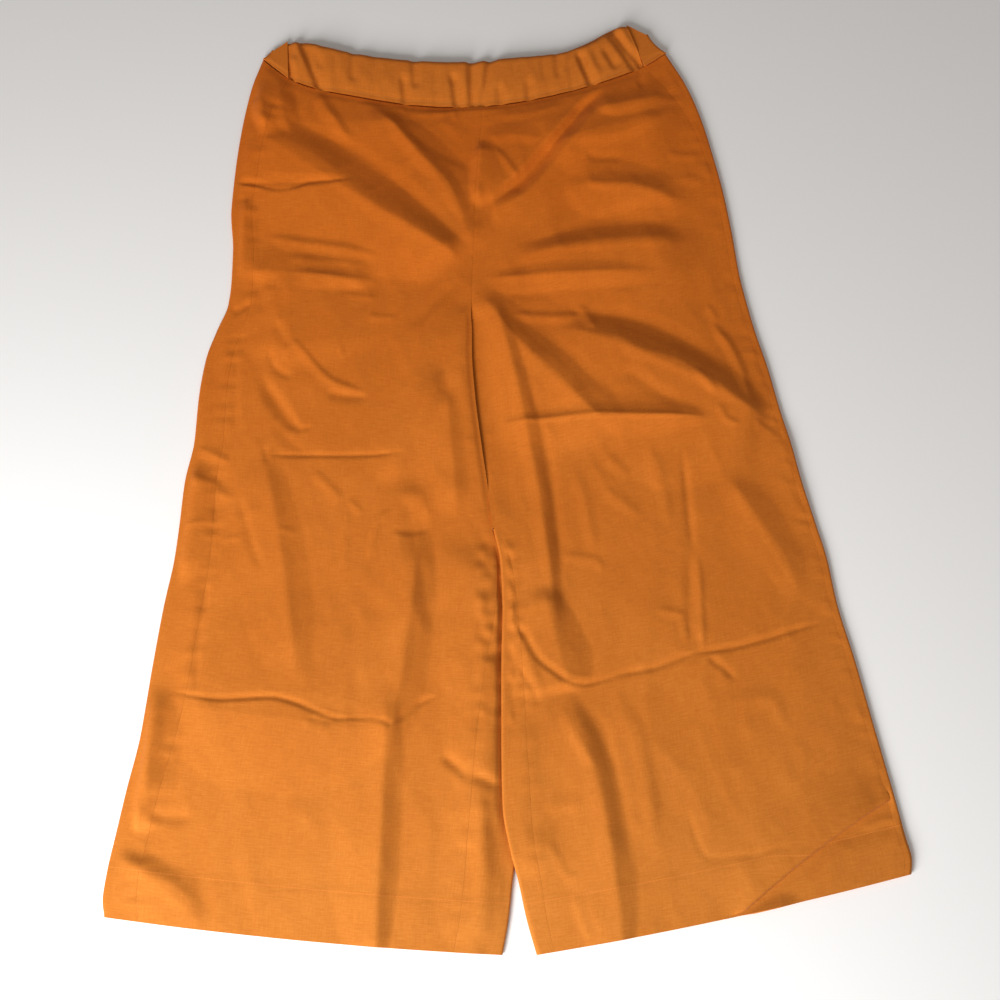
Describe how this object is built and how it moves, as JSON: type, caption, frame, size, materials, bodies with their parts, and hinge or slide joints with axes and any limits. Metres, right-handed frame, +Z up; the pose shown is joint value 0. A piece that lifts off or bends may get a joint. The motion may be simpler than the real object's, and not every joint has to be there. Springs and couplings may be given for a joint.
{
  "type": "culottes",
  "caption": "Wide-leg culottes in crisp woven cotton with an elasticated pull-on waistband, laid flat and creased.",
  "frame": {"origin": "centre of the outline on the surface that the garment lies on", "axes": "+Y from the hems to the waistband, +X to the right of the garment as seen from above, +Z up out of the surface"},
  "size_m": [0.6502, 0.8624, 0.0151],
  "materials": {
    "cotton": "plain-woven orange cotton, matt and slightly slubbed"
  },
  "bodies": {
    "root": {"front_left": "cotton", "front_right": "cotton", "back_left": "cotton", "back_right": "cotton", "waistband_front": "cotton", "waistband_back": "cotton"}
  },
  "joints": []
}
